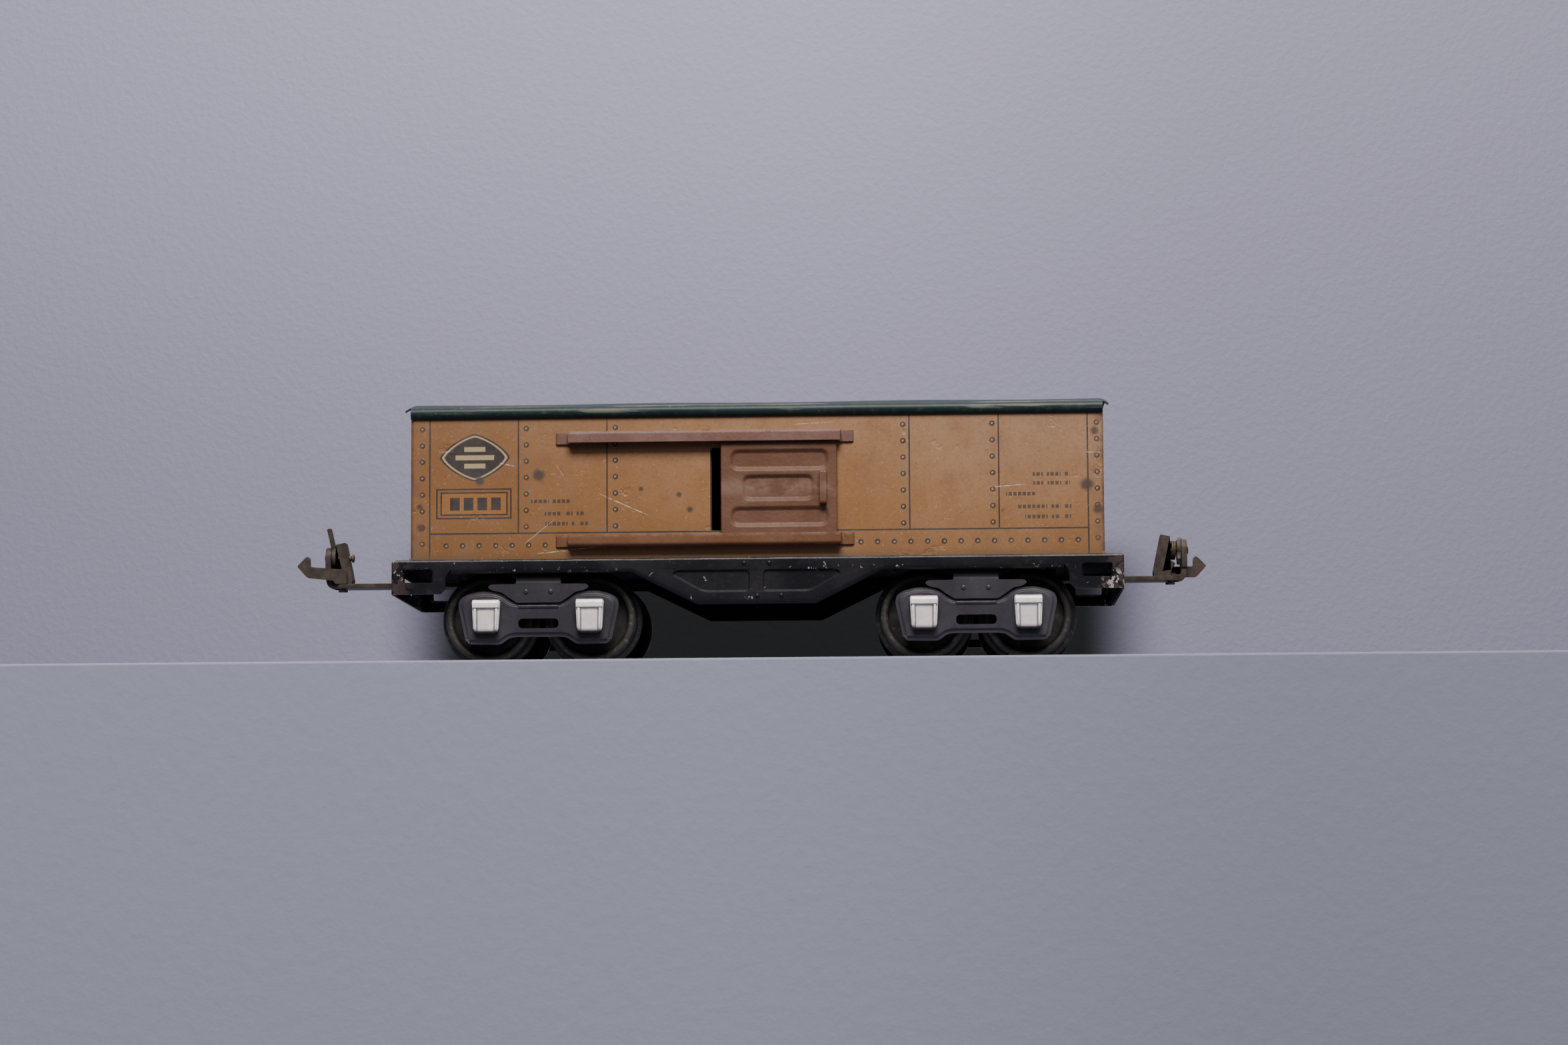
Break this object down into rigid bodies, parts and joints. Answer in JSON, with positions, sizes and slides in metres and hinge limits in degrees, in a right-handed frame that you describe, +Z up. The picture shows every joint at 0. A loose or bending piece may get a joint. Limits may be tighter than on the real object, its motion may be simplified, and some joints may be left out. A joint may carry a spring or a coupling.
{
  "type": "model box car",
  "caption": "Tinplate O gauge toy railway box car with sliding side doors, swivelling four-wheel trucks and latch couplers.",
  "frame": {"origin": "middle of the car on the plane that the wheel flanges stand on", "axes": "+X along the car towards the right-hand end, +Y to the back side, +Z up"},
  "size_m": [0.2106, 0.0558, 0.0627],
  "materials": {
    "black_enamel": "black baked enamel, chipped",
    "cream_litho": "printed tinplate, varnished and worn",
    "green_roof": "dark green enamel, rubbed along the edges",
    "brown_enamel": "red-brown enamel",
    "nickel_plate": "nickel plated and polished",
    "wheel_steel": "blackened tinplate, worn bright on the rim",
    "axle_steel": "bright steel, dulled",
    "coupler_steel": "bare steel, tarnished brown",
    "brass": "dull brass"
  },
  "bodies": {
    "car": {"underframe": "black_enamel", "body_shell": "cream_litho", "roof": "green_roof", "door_guide_upper_front": "brown_enamel", "door_guide_upper_back": "brown_enamel", "door_guide_lower_front": "brown_enamel", "door_guide_lower_back": "brown_enamel", "truck_rivet_left": "axle_steel", "truck_washer_left": "axle_steel", "coupler_rivet_left": "axle_steel", "coupler_spacer_left": "axle_steel", "truck_rivet_right": "axle_steel", "truck_washer_right": "axle_steel", "coupler_rivet_right": "axle_steel", "coupler_spacer_right": "axle_steel"},
    "door_front": {"door_front": "brown_enamel", "door_handle_front": "brown_enamel"},
    "door_back": {"door_back": "brown_enamel", "door_handle_back": "brown_enamel"},
    "truck_left": {"truck_frame_left": "black_enamel", "journal_cover_left_outer_front": "nickel_plate", "journal_cover_left_outer_back": "nickel_plate", "journal_cover_left_inner_front": "nickel_plate", "journal_cover_left_inner_back": "nickel_plate"},
    "wheelset_left_outer": {"axle_left_outer": "axle_steel", "wheel_left_outer_front": "wheel_steel", "wheel_left_outer_back": "wheel_steel"},
    "wheelset_left_inner": {"axle_left_inner": "axle_steel", "wheel_left_inner_front": "wheel_steel", "wheel_left_inner_back": "wheel_steel"},
    "coupler_left": {"coupler_bar_left": "coupler_steel", "coupler_hook_left": "coupler_steel", "hook_rivet_left": "axle_steel", "latch_pin_left": "brass", "latch_spring_left": "brass"},
    "latch_left": {"latch_lever_left": "coupler_steel"},
    "truck_right": {"truck_frame_right": "black_enamel", "journal_cover_right_outer_front": "nickel_plate", "journal_cover_right_outer_back": "nickel_plate", "journal_cover_right_inner_front": "nickel_plate", "journal_cover_right_inner_back": "nickel_plate"},
    "wheelset_right_outer": {"axle_right_outer": "axle_steel", "wheel_right_outer_front": "wheel_steel", "wheel_right_outer_back": "wheel_steel"},
    "wheelset_right_inner": {"axle_right_inner": "axle_steel", "wheel_right_inner_front": "wheel_steel", "wheel_right_inner_back": "wheel_steel"},
    "coupler_right": {"coupler_bar_right": "coupler_steel", "coupler_hook_right": "coupler_steel", "hook_rivet_right": "axle_steel", "latch_pin_right": "brass", "latch_spring_right": "brass"},
    "latch_right": {"latch_lever_right": "coupler_steel"}
  },
  "joints": [
    {"name": "door_front_slide", "type": "slide", "parent": "car", "child": "door_front", "axis": [1, 0, 0], "range_m": [-0.0335, 0]},
    {"name": "door_back_slide", "type": "slide", "parent": "car", "child": "door_back", "axis": [-1, 0, 0], "range_m": [-0.0335, 0]},
    {"name": "truck_left_swivel", "type": "hinge", "parent": "car", "child": "truck_left", "pos_m": [-0.0493, 0, 0.0219], "axis": [0, 0, 1], "range_deg": [-12, 12]},
    {"name": "wheelset_left_outer_spin", "type": "hinge", "parent": "truck_left", "child": "wheelset_left_outer", "pos_m": [-0.061, 0, 0.0111], "axis": [0, 1, 0], "continuous": true},
    {"name": "wheelset_left_inner_spin", "type": "hinge", "parent": "truck_left", "child": "wheelset_left_inner", "pos_m": [-0.0376, 0, 0.0111], "axis": [0, 1, 0], "continuous": true},
    {"name": "coupler_left_swing", "type": "hinge", "parent": "car", "child": "coupler_left", "pos_m": [-0.068, 0, 0.0208], "axis": [0, 0, 1], "range_deg": [-15, 15]},
    {"name": "latch_left_turn", "type": "hinge", "parent": "coupler_left", "child": "latch_left", "pos_m": [-0.0991, 0, 0.0272], "axis": [-1, 0, 0], "range_deg": [-60, 0]},
    {"name": "truck_right_swivel", "type": "hinge", "parent": "car", "child": "truck_right", "pos_m": [0.0493, 0, 0.0219], "axis": [0, 0, 1], "range_deg": [-12, 12]},
    {"name": "wheelset_right_outer_spin", "type": "hinge", "parent": "truck_right", "child": "wheelset_right_outer", "pos_m": [0.061, 0, 0.0111], "axis": [0, 1, 0], "continuous": true},
    {"name": "wheelset_right_inner_spin", "type": "hinge", "parent": "truck_right", "child": "wheelset_right_inner", "pos_m": [0.0376, 0, 0.0111], "axis": [0, 1, 0], "continuous": true},
    {"name": "coupler_right_swing", "type": "hinge", "parent": "car", "child": "coupler_right", "pos_m": [0.068, 0, 0.0208], "axis": [0, 0, 1], "range_deg": [-15, 15]},
    {"name": "latch_right_turn", "type": "hinge", "parent": "coupler_right", "child": "latch_right", "pos_m": [0.096, 0, 0.0272], "axis": [1, 0, 0], "range_deg": [-8, 52]}
  ]
}
